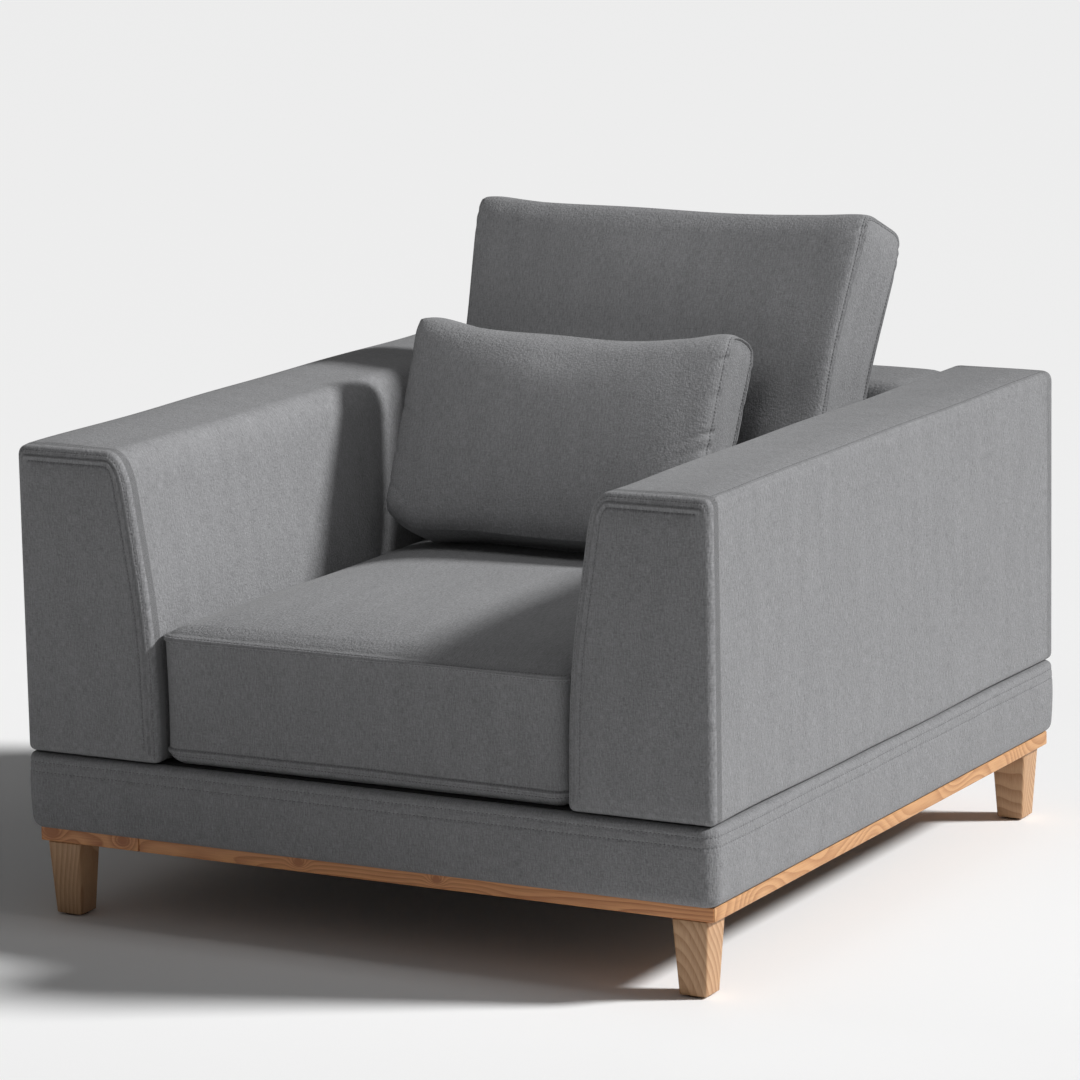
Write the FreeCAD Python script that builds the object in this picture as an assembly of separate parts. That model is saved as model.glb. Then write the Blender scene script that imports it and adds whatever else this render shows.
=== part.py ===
import FreeCAD, Part
import math
import os

os.makedirs("parts", exist_ok=True)

# Deep upholstered armchair on a wooden plinth with four tapered legs.
# Millimetres. +Z is up, the seat faces -Y, and X = 0 is the plane of symmetry.
# The origin lies on the floor under the middle of the chair.

# ---- driving dimensions -------------------------------------------------
WIDTH = 1060.0            # over the outsides of the arms
DEPTH = 1120.0            # over the front and the back of the arms
LEG_HEIGHT = 106.0        # floor to the underside of the plinth
PLINTH_HEIGHT = 20.0
BASE_TOP = 235.0          # top of the upholstered base, where the arms stand
ARM_TOP = 665.0
BACK_TOP = 656.0          # the back between the arms is a little lower

GLIDE_THICKNESS = 2.5
LEG_TOP_SIDE = 53.0
LEG_FOOT_SIDE = 40.0
LEG_X = 485.5             # middle of a leg
LEG_Y = 516.5
PLINTH_SIDE_INSET = 8.0
PLINTH_FRONT_INSET = 17.0
PLINTH_REAR_INSET = 8.0
PLINTH_WIDTH = 60.0       # width of a plinth rail, seen from below
SCREW_SPACING = 300.0     # between the screws of a plinth rail

COVER = 2.0               # upholstery fabric with its lining
BORDER_PAD = 16.0         # foam on the outside of the base frame
BOARD = 22.0              # timber and plywood members of the frame
HARDBOARD = 3.0
ARM_FOAM = 22.0

ARM_BOTTOM_X = 315.0      # inner face of an arm at the seat deck
ARM_BEND_X = 319.0        # and where it starts to lean outwards
ARM_BEND_Z = 420.0
ARM_TOP_X = 362.0         # and where it reaches the top
ARM_INNER_RADIUS = 35.0
ARM_OUTER_RADIUS = 14.0

BACK_FRONT_TOP = 390.0    # front face of the back, at its top
BACK_FRONT_BEND = 335.0   # and below the bend
BACK_BEND_Z = 430.0
BACK_EDGE_RADIUS = 30.0

SEAT_FRONT = -535.0
SEAT_REAR = BACK_FRONT_BEND - 2.0
SEAT_BOTTOM = BASE_TOP + 1.0
SEAT_HALF = 312.0
SEAT_SIDE_TOP = 393.0     # where the side turns into the shoulder
SEAT_SHOULDER_X = 250.0
SEAT_SHOULDER_Z = 440.0
SEAT_CROWN = 446.0
SEAT_SHOULDER_TURN = 0.72     # where the middle of the shoulder's curve lies between its ends
SEAT_CORNER_RADIUS = 40.0
CUSHION_COVER = 1.5

REST_Z = SEAT_CROWN + 1.0     # underside of the two loose cushions on the seat
BACK_CUSHION_HALF = 308.0
BACK_CUSHION_FRONT = 137.0    # its front face at the seat
BACK_CUSHION_LEAN = 22.4      # degrees from upright
BACK_CUSHION_THICK = 147.0
BACK_CUSHION_LENGTH = 508.0   # along the lean, measured on the front face
BACK_CUSHION_RADIUS = 24.0

PILLOW_MIDDLE = -30.0         # the pillow lies a little to the left
PILLOW_HALF = 256.0
PILLOW_FRONT = -58.0
PILLOW_LEAN = 24.5
PILLOW_THICK = 138.0
PILLOW_LENGTH = 368.0
PILLOW_RADIUS = 30.0

BOLT_RADIUS = 4.0
BOLT_PLAY = 0.3
SCREW_RADIUS = 2.2
SCREW_PLAY = 0.1

# ---- sizes that follow --------------------------------------------------
HALF_W = WIDTH / 2
HALF_D = DEPTH / 2
BASE_BOTTOM = LEG_HEIGHT + PLINTH_HEIGHT
FRAME_X = HALF_W - COVER - BORDER_PAD       # outside of the timber base frame
FRAME_Y = HALF_D - COVER - BORDER_PAD
BLOCK = 70.0                                # side of a corner block
RAIL_TOP = 222.0                            # front and rear rails, under the springs
SIDE_RAIL_TOP = BASE_TOP - COVER

SIDES = {"left": -1, "right": 1}
ENDS = {"front": -1, "rear": 1}


def save(node, *solids):
    """Writes one node; several solids become one group."""
    shape = solids[0] if len(solids) == 1 else Part.makeCompound(list(solids))
    shape.exportStep("parts/" + node + ".step")


def block(x0, x1, y0, y1, z0, z1):
    """A box between two corners."""
    return Part.makeBox(x1 - x0, y1 - y0, z1 - z0, FreeCAD.Vector(x0, y0, z0))


def rod(x, y, z0, z1, radius):
    """An upright cylinder."""
    return Part.makeCylinder(radius, z1 - z0, FreeCAD.Vector(x, y, z0))


def mirrored(shape, side):
    """The shape itself on the right, its mirror image on the left."""
    if side > 0:
        return shape
    return shape.mirror(FreeCAD.Vector(0, 0, 0), FreeCAD.Vector(1, 0, 0))


def cut_all(shape, tools):
    """The shape with every tool taken out of it."""
    for tool in tools:
        shape = shape.cut(tool)
    return shape


def corners():
    """The signs of the four corners, with the name of each."""
    return [(end + "_" + side, SIDES[side], ENDS[end]) for end in ENDS for side in SIDES]


# ---- fasteners, which the timber is drilled for -------------------------
LEG_BOLT_LOW = 56.0
LEG_BOLT_HIGH = 146.0
INSERT_RADIUS = 6.5
INSERT_HIGH = 149.0


def leg_bolts(play=0.0):
    """Headless bolts that join each leg to its corner block."""
    return [
        rod(sx * LEG_X, sy * LEG_Y, LEG_BOLT_LOW - play, LEG_BOLT_HIGH + play, BOLT_RADIUS + play)
        for name, sx, sy in corners()
    ]


def leg_inserts(play=0.0):
    """Threaded sleeves in the undersides of the corner blocks."""
    low = BASE_BOTTOM + 1.0 - play
    return [
        rod(sx * LEG_X, sy * LEG_Y, low, INSERT_HIGH + play, INSERT_RADIUS + play)
        for name, sx, sy in corners()
    ]


ARM_BOLT_X = FRAME_X - BOARD / 2
ARM_BOLT_Y = 330.0
BACK_BOLT_X = 200.0
BACK_BOLT_Y = FRAME_Y - BOARD / 2
BODY_BOLT_LOW = 190.0
BODY_BOLT_HIGH = BASE_TOP + COVER + BOARD
BOLT_HEAD = 5.0
BOLT_HEAD_RADIUS = 9.0


def body_bolts(play=0.0):
    """Bolts that hold the arms and the back down on the base frame."""
    places = [(sx * ARM_BOLT_X, sy * ARM_BOLT_Y) for sx in (-1, 1) for sy in (-1, 1)]
    places += [(sx * BACK_BOLT_X, BACK_BOLT_Y) for sx in (-1, 1)]
    bolts = []
    for x, y in places:
        shank = rod(x, y, BODY_BOLT_LOW, BODY_BOLT_HIGH + play, BOLT_RADIUS + play)
        head_low = BODY_BOLT_LOW - BOLT_HEAD - play
        head = rod(x, y, head_low, BODY_BOLT_LOW + play, BOLT_HEAD_RADIUS + play)
        bolts.append(shank.fuse(head).removeSplitter())
    return bolts


SCREW_LOW = LEG_HEIGHT + 4.0
SCREW_HIGH = 152.0


def plinth_screws(play=0.0):
    """Screws from below through the plinth rails into the base frame."""
    steps = (-SCREW_SPACING, 0, SCREW_SPACING)
    along_front = [(x, sy * (FRAME_Y - BOARD / 2)) for x in steps for sy in (-1, 1)]
    along_side = [(sx * (FRAME_X - BOARD / 2), y) for y in steps for sx in (-1, 1)]
    return [
        rod(x, y, SCREW_LOW, SCREW_HIGH + play, SCREW_RADIUS + play)
        for x, y in along_front + along_side
    ]


# ---- legs and plinth ----------------------------------------------------
def square(x, y, z, side):
    """A horizontal square wire about a point."""
    h = side / 2
    points = [(x - h, y - h), (x + h, y - h), (x + h, y + h), (x - h, y + h), (x - h, y - h)]
    return Part.makePolygon([FreeCAD.Vector(px, py, z) for px, py in points])


def make_legs():
    """Square legs that taper on all four sides."""
    for name, sx, sy in corners():
        x = sx * LEG_X
        y = sy * LEG_Y
        foot = square(x, y, GLIDE_THICKNESS, LEG_FOOT_SIDE)
        top = square(x, y, LEG_HEIGHT, LEG_TOP_SIDE)
        leg = Part.makeLoft([foot, top], True, True)
        save("leg_" + name, cut_all(leg, leg_bolts(BOLT_PLAY)))


def make_glides():
    """Round felt pads under the legs, which the chair stands on."""
    glide_radius = 16.0
    pads = [
        rod(sx * LEG_X, sy * LEG_Y, 0, GLIDE_THICKNESS, glide_radius)
        for name, sx, sy in corners()
    ]
    save("leg_glides", *pads)


def make_plinth():
    """Four flat rails, mitred at the corners."""
    x = HALF_W - PLINTH_SIDE_INSET
    y0 = PLINTH_FRONT_INSET - HALF_D
    y1 = HALF_D - PLINTH_REAR_INSET
    w = PLINTH_WIDTH
    side = [(x, y0), (x, y1), (x - w, y1 - w), (x - w, y0 + w)]
    outlines = {
        "front": [(-x, y0), (x, y0), (x - w, y0 + w), (-x + w, y0 + w)],
        "rear": [(-x, y1), (x, y1), (x - w, y1 - w), (-x + w, y1 - w)],
        "right": side,
        "left": [(-px, py) for px, py in side],
    }
    holes = leg_bolts(BOLT_PLAY) + plinth_screws(SCREW_PLAY)
    for name, outline in outlines.items():
        points = [FreeCAD.Vector(px, py, LEG_HEIGHT) for px, py in outline + outline[:1]]
        rail = Part.Face(Part.makePolygon(points)).extrude(FreeCAD.Vector(0, 0, PLINTH_HEIGHT))
        save("plinth_rail_" + name, cut_all(rail, holes))


def make_fasteners():
    """Leg bolts, their sleeves, the plinth screws and the body bolts."""
    save("leg_bolts", *leg_bolts())
    save("leg_inserts", *[cut_all(s, leg_bolts(0.1)) for s in leg_inserts()])
    save("plinth_screws", *plinth_screws())
    save("body_bolts", *body_bolts())


# ---- base frame and its padding -----------------------------------------
def make_base_frame():
    """Rails that butt against solid corner blocks, and one cross member."""
    screws = plinth_screws(SCREW_PLAY)
    bolts = body_bolts(BOLT_PLAY)
    for name, sy in ENDS.items():
        inner, outer = sorted([sy * (FRAME_Y - BOARD), sy * FRAME_Y])
        rail = block(BLOCK - FRAME_X, FRAME_X - BLOCK, inner, outer, BASE_BOTTOM, RAIL_TOP)
        save("base_rail_" + name, cut_all(rail, screws + bolts))
    for name, sx in SIDES.items():
        x0, x1 = sorted([sx * (FRAME_X - BOARD), sx * FRAME_X])
        rail = block(x0, x1, BLOCK - FRAME_Y, FRAME_Y - BLOCK, BASE_BOTTOM, SIDE_RAIL_TOP)
        save("base_rail_" + name, cut_all(rail, screws + bolts))
    blocks = []
    for name, sx, sy in corners():
        x0, x1 = sorted([sx * (FRAME_X - BLOCK), sx * FRAME_X])
        y0, y1 = sorted([sy * (FRAME_Y - BLOCK), sy * FRAME_Y])
        corner = block(x0, x1, y0, y1, BASE_BOTTOM, RAIL_TOP)
        blocks.append(cut_all(corner, leg_inserts(0.1) + leg_bolts(BOLT_PLAY)))
    save("corner_blocks", *blocks)
    low = BASE_BOTTOM + 4.0
    high = 190.0
    half = FRAME_X - BOARD
    save("base_stretcher", block(-half, half, -BOARD / 2, BOARD / 2, low, high))


def make_border():
    """Foam round the outside of the base and the fabric stretched over it."""
    low = BASE_BOTTOM + COVER
    high = BASE_TOP - COVER
    outer_x = HALF_W - COVER
    outer_y = HALF_D - COVER
    for name, sy in ENDS.items():
        y0, y1 = sorted([sy * FRAME_Y, sy * outer_y])
        save("border_pad_" + name, block(-outer_x, outer_x, y0, y1, low, high))
    for name, sx in SIDES.items():
        x0, x1 = sorted([sx * FRAME_X, sx * outer_x])
        save("border_pad_" + name, block(x0, x1, -FRAME_Y, FRAME_Y, low, high))
    cover = block(-HALF_W, HALF_W, -HALF_D, HALF_D, BASE_BOTTOM, BASE_TOP)
    cover = cover.cut(block(-outer_x, outer_x, -outer_y, outer_y, low, high))
    cover = cover.cut(block(-FRAME_X, FRAME_X, -FRAME_Y, FRAME_Y, BASE_BOTTOM, BASE_TOP))
    save("border_cover", cover)


# ---- seat springs, deck and dust cover ----------------------------------
SPRING_Z = 226.5
SPRING_WIRE = 1.9          # radius of the wire
SPRING_RUN = 34.0          # straight part of each zigzag
SPRING_ENDS = 531.0        # the last runs lie over the front and rear rails
SPRING_RUNS = 36
SPRING_PLACES = [-240, -120, 0, 120, 240]
CLIP_WIDTH = 18.0
CLIP_DEPTH = 20.0
CLIP_HEIGHT = 10.0
CLIP_WALL = 1.5


def zigzag_wire():
    """Straight runs along X, joined by half circles, from the front to the rear."""
    pitch = 2 * SPRING_ENDS / (SPRING_RUNS - 1)
    half = SPRING_RUN / 2
    edges = []
    for i in range(SPRING_RUNS):
        y = -SPRING_ENDS + i * pitch
        way = 1 if i % 2 == 0 else -1
        start = FreeCAD.Vector(-way * half, y, SPRING_Z)
        stop = FreeCAD.Vector(way * half, y, SPRING_Z)
        edges.append(Part.makeLine(start, stop))
        if i < SPRING_RUNS - 1:
            crest = FreeCAD.Vector(way * (half + pitch / 2), y + pitch / 2, SPRING_Z)
            turn = FreeCAD.Vector(way * half, y + pitch, SPRING_Z)
            edges.append(Part.Arc(stop, crest, turn).toShape())
    return Part.Wire(edges)


def make_springs():
    """Zigzag springs from the front rail to the rear rail, held by steel clips.

    The wire has eight flats in place of a round section."""
    path = zigzag_wire()
    start = path.Edges[0].Vertexes[0].Point
    flats = [math.radians(45.0 * i + 22.5) for i in range(9)]
    section = Part.makePolygon([
        start + FreeCAD.Vector(0, SPRING_WIRE * math.cos(a), SPRING_WIRE * math.sin(a))
        for a in flats
    ])
    spring = path.makePipeShell([section], True, False)
    expected = Part.Face(section).Area * path.Length
    print("spring volume over section times length:", spring.Volume / expected)
    springs = [spring.translated(FreeCAD.Vector(x, 0, 0)) for x in SPRING_PLACES]
    save("seat_springs", *springs)
    clips = []
    low = RAIL_TOP + CLIP_WALL
    high = RAIL_TOP + CLIP_HEIGHT - CLIP_WALL
    for x in SPRING_PLACES:
        for sy in (-1, 1):
            outside = sy * (SPRING_ENDS + CLIP_DEPTH / 2)
            inside = sy * (SPRING_ENDS - CLIP_DEPTH / 2)
            y0, y1 = sorted([outside, inside])
            x0, x1 = x - CLIP_WIDTH / 2, x + CLIP_WIDTH / 2
            clip = block(x0, x1, y0, y1, RAIL_TOP, RAIL_TOP + CLIP_HEIGHT)
            y0, y1 = sorted([outside - sy * CLIP_WALL, inside - sy * CLIP_WALL])
            clips.append(clip.cut(block(x - CLIP_WIDTH, x + CLIP_WIDTH, y0, y1, low, high)))
    save("spring_clips", *clips)


def make_cloths():
    """The deck cloth over the springs and the dust cover under the frame."""
    deck = block(-FRAME_X, FRAME_X, -FRAME_Y, FRAME_Y, BASE_TOP - COVER, BASE_TOP)
    save("deck_cloth", cut_all(deck, body_bolts(BOLT_PLAY)))
    x = HALF_W - PLINTH_SIDE_INSET - PLINTH_WIDTH
    y0 = PLINTH_FRONT_INSET + PLINTH_WIDTH - HALF_D
    y1 = HALF_D - PLINTH_REAR_INSET - PLINTH_WIDTH
    thickness = 1.2
    save("dust_cover", block(-x, x, y0, y1, BASE_BOTTOM - thickness, BASE_BOTTOM))


# ---- arms ---------------------------------------------------------------
def arm_prism(inset, bottom, half_length):
    """The right arm's shape, drawn in by an inset, from a given bottom height."""
    outline = [
        (HALF_W, BASE_TOP),
        (HALF_W, ARM_TOP),
        (ARM_TOP_X, ARM_TOP),
        (ARM_BEND_X, ARM_BEND_Z),
        (ARM_BOTTOM_X, BASE_TOP),
    ]
    points = [FreeCAD.Vector(x, -half_length, z) for x, z in outline + outline[:1]]
    face = Part.Face(Part.makePolygon(points))
    if inset:
        face = face.makeOffset2D(-inset, join=2)
    arm = face.extrude(FreeCAD.Vector(0, 2 * half_length, 0))
    low = arm.BoundBox.ZMin
    if bottom < low:
        foot = [f for f in arm.Faces if abs(f.CenterOfMass.z - low) < 0.1][0]
        arm = arm.fuse(foot.extrude(FreeCAD.Vector(0, 0, bottom - low))).removeSplitter()
    inner = max(ARM_INNER_RADIUS - inset, 3.0)
    outer = max(ARM_OUTER_RADIUS - inset, 3.0)
    middle = (ARM_TOP_X + HALF_W) / 2
    for radius, at_outside in ((inner, False), (outer, True)):
        edges = [e for e in top_edges_along_y(arm) if (e.CenterOfMass.x > middle) == at_outside]
        arm = arm.makeFillet(radius, edges)
    return arm


def top_edges_along_y(shape):
    """The straight edges that run front to rear at the very top of a shape."""
    top = shape.BoundBox.ZMax
    found = []
    for edge in shape.Edges:
        first, last = edge.Vertexes[0].Point, edge.Vertexes[-1].Point
        along = abs(last.y - first.y) > 0.9 * shape.BoundBox.YLength
        if along and abs(first.z - top) < 0.1 and abs(last.z - top) < 0.1:
            found.append(edge)
    return found


def slab(z0, z1, y0=-HALF_D, y1=HALF_D):
    """A wide block that keeps only what lies between two heights."""
    return block(-2 * HALF_W, 2 * HALF_W, y0, y1, z0, z1)


def make_arms():
    """Each arm is a plywood box clad in hardboard and foam, under a fitted cover."""
    floor = BASE_TOP + COVER
    inner = COVER + ARM_FOAM
    foam_end = HALF_D - COVER
    frame_end = HALF_D - inner
    low_top = floor + BOARD
    high_bottom = ARM_TOP - inner - BOARD
    whole = arm_prism(0, BASE_TOP, HALF_D)
    under_cover = arm_prism(COVER, floor, foam_end)
    frame_space = arm_prism(inner, floor, frame_end)
    rib_space = arm_prism(inner + HARDBOARD, floor, frame_end)
    bolts = body_bolts(BOLT_PLAY)
    heights = [(floor, low_top), (high_bottom, ARM_TOP)]
    boards = [frame_space.common(slab(z0, z1)) for z0, z1 in heights]
    cladding = frame_space.cut(rib_space).common(slab(low_top, high_bottom)).Solids
    ribs = []
    for y in (-frame_end, -BOARD / 2, frame_end - BOARD):
        ribs.append(rib_space.common(slab(low_top, high_bottom, y, y + BOARD)))
    for name, side in SIDES.items():
        save("arm_cover_" + name, cut_all(mirrored(whole.cut(under_cover), side), bolts))
        save("arm_foam_" + name, mirrored(under_cover.cut(frame_space), side))
        save("arm_boards_" + name, *[cut_all(mirrored(s, side), bolts) for s in boards])
        save("arm_panels_" + name, *[mirrored(s, side) for s in cladding])
        save("arm_ribs_" + name, *[mirrored(s, side) for s in ribs])


# ---- back ---------------------------------------------------------------
def back_prism(inset, bottom):
    """The padded back between the arms, drawn in by an inset."""
    outline = [
        (HALF_D, BASE_TOP),
        (HALF_D, BACK_TOP),
        (BACK_FRONT_TOP, BACK_TOP),
        (BACK_FRONT_BEND, BACK_BEND_Z),
        (BACK_FRONT_BEND, BASE_TOP),
    ]
    points = [FreeCAD.Vector(-ARM_TOP_X, y, z) for y, z in outline + outline[:1]]
    face = Part.Face(Part.makePolygon(points))
    if inset:
        face = face.makeOffset2D(-inset, join=2)
    back = face.extrude(FreeCAD.Vector(2 * ARM_TOP_X, 0, 0))
    low = back.BoundBox.ZMin
    if bottom < low:
        foot = [f for f in back.Faces if abs(f.CenterOfMass.z - low) < 0.1][0]
        back = back.fuse(foot.extrude(FreeCAD.Vector(0, 0, bottom - low))).removeSplitter()
    top = back.BoundBox.ZMax
    middle = (BACK_FRONT_TOP + HALF_D) / 2
    front = [
        e for e in back.Edges
        if abs(e.CenterOfMass.z - top) < 0.1 and e.CenterOfMass.y < middle and e.Length > WIDTH / 2
    ]
    back = back.makeFillet(max(BACK_EDGE_RADIUS - inset, 3.0), front)
    gap = 0.5
    for side in (-1, 1):
        back = back.cut(mirrored(back_end_cutter(inset + gap), side))
    return back


def back_end_cutter(reach):
    """What an arm takes away from the end of the back, grown by a reach."""
    past_the_end = ARM_TOP_X + 60.0
    outline = [
        (ARM_BOTTOM_X - reach, BASE_TOP - 1),
        (ARM_BEND_X - reach, ARM_BEND_Z),
        (ARM_TOP_X - reach, ARM_TOP),
        (past_the_end, ARM_TOP),
        (past_the_end, BASE_TOP - 1),
    ]
    points = [FreeCAD.Vector(x, 0, z) for x, z in outline + outline[:1]]
    return Part.Face(Part.makePolygon(points)).extrude(FreeCAD.Vector(0, DEPTH, 0))


def make_back():
    """A ladder frame with elastic webbing across it, foam all round and a cover."""
    floor = BASE_TOP + COVER
    inner = COVER + ARM_FOAM
    whole = back_prism(0, BASE_TOP)
    under_cover = back_prism(COVER, floor)
    frame_space = back_prism(inner, floor)
    post_space = back_prism(inner + HARDBOARD, floor)
    bolts = body_bolts(BOLT_PLAY)
    save("back_cover", cut_all(whole.cut(under_cover), bolts))
    save("back_foam", under_cover.cut(frame_space))
    post_x = 255.0
    top = BACK_TOP - inner - HARDBOARD
    posts = [
        post_space.common(block(x, x + BOARD, 0, HALF_D, floor, top))
        for x in (-post_x - BOARD, post_x)
    ]
    rails = [
        post_space.common(block(-post_x, post_x, 0, HALF_D, z, z + BOARD))
        for z in (floor, top - BOARD)
    ]
    save("back_posts", *posts)
    save("back_rails", *[cut_all(rail, bolts) for rail in rails])
    strap_width = 50.0
    strap_spacing = 80.0
    lowest_strap = 290.0
    skin = frame_space.cut(post_space)
    web_half = post_x + BOARD
    straps = []
    for i in range(4):
        z = lowest_strap + i * strap_spacing
        front_half = block(-web_half, web_half, 0, (BACK_FRONT_TOP + HALF_D) / 2, z, z + strap_width)
        straps += skin.common(front_half).Solids
    save("back_webbing", *straps)


# ---- loose cushions -----------------------------------------------------
def seat_prism(inset):
    """A box cushion with rounded shoulders and a slightly crowned top."""
    shoulder_x = SEAT_SHOULDER_X + SEAT_SHOULDER_TURN * (SEAT_HALF - SEAT_SHOULDER_X)
    shoulder_z = SEAT_SIDE_TOP + SEAT_SHOULDER_TURN * (SEAT_SHOULDER_Z - SEAT_SIDE_TOP)
    y = SEAT_FRONT + inset
    low_left = FreeCAD.Vector(-SEAT_HALF, y, SEAT_BOTTOM)
    low_right = FreeCAD.Vector(SEAT_HALF, y, SEAT_BOTTOM)
    side_right = FreeCAD.Vector(SEAT_HALF, y, SEAT_SIDE_TOP)
    side_left = FreeCAD.Vector(-SEAT_HALF, y, SEAT_SIDE_TOP)
    top_right = FreeCAD.Vector(SEAT_SHOULDER_X, y, SEAT_SHOULDER_Z)
    top_left = FreeCAD.Vector(-SEAT_SHOULDER_X, y, SEAT_SHOULDER_Z)
    right_turn = FreeCAD.Vector(shoulder_x, y, shoulder_z)
    left_turn = FreeCAD.Vector(-shoulder_x, y, shoulder_z)
    crown = FreeCAD.Vector(0, y, SEAT_CROWN)
    outline = Part.Wire([
        Part.makeLine(low_left, low_right),
        Part.makeLine(low_right, side_right),
        Part.Arc(side_right, right_turn, top_right).toShape(),
        Part.Arc(top_right, crown, top_left).toShape(),
        Part.Arc(top_left, left_turn, side_left).toShape(),
        Part.makeLine(side_left, low_left),
    ])
    face = Part.Face(outline)
    if inset:
        face = face.makeOffset2D(-inset)
    cushion = face.extrude(FreeCAD.Vector(0, SEAT_REAR - SEAT_FRONT - 2 * inset, 0))
    upright = [
        e for e in cushion.Edges
        if e.BoundBox.XLength < 0.1 and e.BoundBox.YLength < 0.1 and abs(e.CenterOfMass.y - y) < 0.1
    ]
    return cushion.makeFillet(SEAT_CORNER_RADIUS - inset, upright)


def leaning_prism(middle, half, front, lean, thick, length, radius, inset):
    """A cushion that leans back, cut off level where it stands on the seat.

    Its side outline is a leaning oblong from below the seat's surface to its
    top, of which only the part above the resting height is kept."""
    angle = math.radians(lean)
    up = FreeCAD.Vector(0, math.sin(angle), math.cos(angle))
    back = FreeCAD.Vector(0, math.cos(angle), -math.sin(angle))
    below = 80.0
    heel = 20.0
    start = FreeCAD.Vector(middle - half, front, REST_Z) - up * below
    corner_points = [
        start,
        start + up * (length + below),
        start + up * (length + below) + back * thick,
        start + up * heel + back * thick,
        start,
    ]
    face = Part.Face(Part.makePolygon(corner_points))
    slope = face.extrude(FreeCAD.Vector(2 * half, 0, 0))
    above = block(middle - half, middle + half, -HALF_D, 2 * HALF_D, REST_Z, 2 * ARM_TOP)
    kept = slope.common(above)
    side_face = [f for f in kept.Faces if abs(f.CenterOfMass.x - (middle - half)) < 0.1][0]
    if inset:
        side_face = side_face.makeOffset2D(-inset, join=2)
    cushion = side_face.extrude(FreeCAD.Vector(2 * half - 2 * inset, 0, 0))
    cushion.translate(FreeCAD.Vector(inset, 0, 0))
    along = [e for e in cushion.Edges if e.BoundBox.XLength > half]
    return cushion.makeFillet(radius - inset, along)


def back_cushion(inset):
    """The full-width cushion that leans on the back."""
    return leaning_prism(0, BACK_CUSHION_HALF, BACK_CUSHION_FRONT, BACK_CUSHION_LEAN,
                         BACK_CUSHION_THICK, BACK_CUSHION_LENGTH, BACK_CUSHION_RADIUS, inset)


def pillow(inset):
    """The small cushion in front of it."""
    return leaning_prism(PILLOW_MIDDLE, PILLOW_HALF, PILLOW_FRONT, PILLOW_LEAN,
                         PILLOW_THICK, PILLOW_LENGTH, PILLOW_RADIUS, inset)


def make_cushions():
    """Three loose cushions, each a filling in a sewn cover."""
    shapes = {
        "seat_cushion": seat_prism,
        "back_cushion": back_cushion,
        "lumbar_pillow": pillow,
    }
    for name, shape in shapes.items():
        filling = shape(CUSHION_COVER)
        save(name + "_cover", shape(0).cut(filling))
        save(name + "_filling", filling)


make_legs()
make_glides()
make_plinth()
make_fasteners()
make_base_frame()
make_border()
make_springs()
make_cloths()
make_arms()
make_back()
make_cushions()
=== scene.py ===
import math

import bpy
import numpy as np
from mathutils import Matrix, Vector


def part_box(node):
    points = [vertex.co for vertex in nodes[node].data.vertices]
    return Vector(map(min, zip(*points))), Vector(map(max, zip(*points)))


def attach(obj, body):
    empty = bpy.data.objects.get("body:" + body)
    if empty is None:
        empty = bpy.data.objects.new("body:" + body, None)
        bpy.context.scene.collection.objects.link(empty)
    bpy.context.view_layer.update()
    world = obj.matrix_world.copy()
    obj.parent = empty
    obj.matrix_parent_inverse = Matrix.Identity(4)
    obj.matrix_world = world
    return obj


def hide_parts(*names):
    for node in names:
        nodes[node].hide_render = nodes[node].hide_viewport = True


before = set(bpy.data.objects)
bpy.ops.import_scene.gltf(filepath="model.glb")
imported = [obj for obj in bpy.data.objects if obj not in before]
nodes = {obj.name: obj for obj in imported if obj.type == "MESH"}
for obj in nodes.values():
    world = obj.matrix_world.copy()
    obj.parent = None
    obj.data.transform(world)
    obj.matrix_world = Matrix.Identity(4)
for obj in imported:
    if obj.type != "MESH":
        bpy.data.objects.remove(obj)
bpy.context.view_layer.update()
scene = bpy.context.scene


# ---- camera -------------------------------------------------------------
# A long lens looks at the chair from the front right, from a little above
# the arms, and is turned by about a degree.
def make_camera():
    azimuth, elevation, roll = (math.radians(a) for a in (28.80, 11.01, -1.1))
    distance, height_aimed_at = 7.120, 0.4
    to_the_right, upwards = -0.0210, 0.0708
    back = np.array([
        math.sin(azimuth) * math.cos(elevation),
        -math.cos(azimuth) * math.cos(elevation),
        math.sin(elevation),
    ])
    level = np.array([math.cos(azimuth), math.sin(azimuth), 0.0])
    above = np.cross(back, level)
    right = level * math.cos(roll) + above * math.sin(roll)
    up = above * math.cos(roll) - level * math.sin(roll)
    place = back * distance + right * to_the_right + up * upwards
    place[2] += height_aimed_at
    lens = bpy.data.cameras.new("camera")
    lens.sensor_width = 36.0
    lens.lens = 167.1
    camera = bpy.data.objects.new("camera", lens)
    scene.collection.objects.link(camera)
    camera.matrix_world = Matrix([
        [right[i], up[i], back[i], place[i]] for i in range(3)
    ] + [[0, 0, 0, 1]])
    scene.camera = camera


make_camera()


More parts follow.
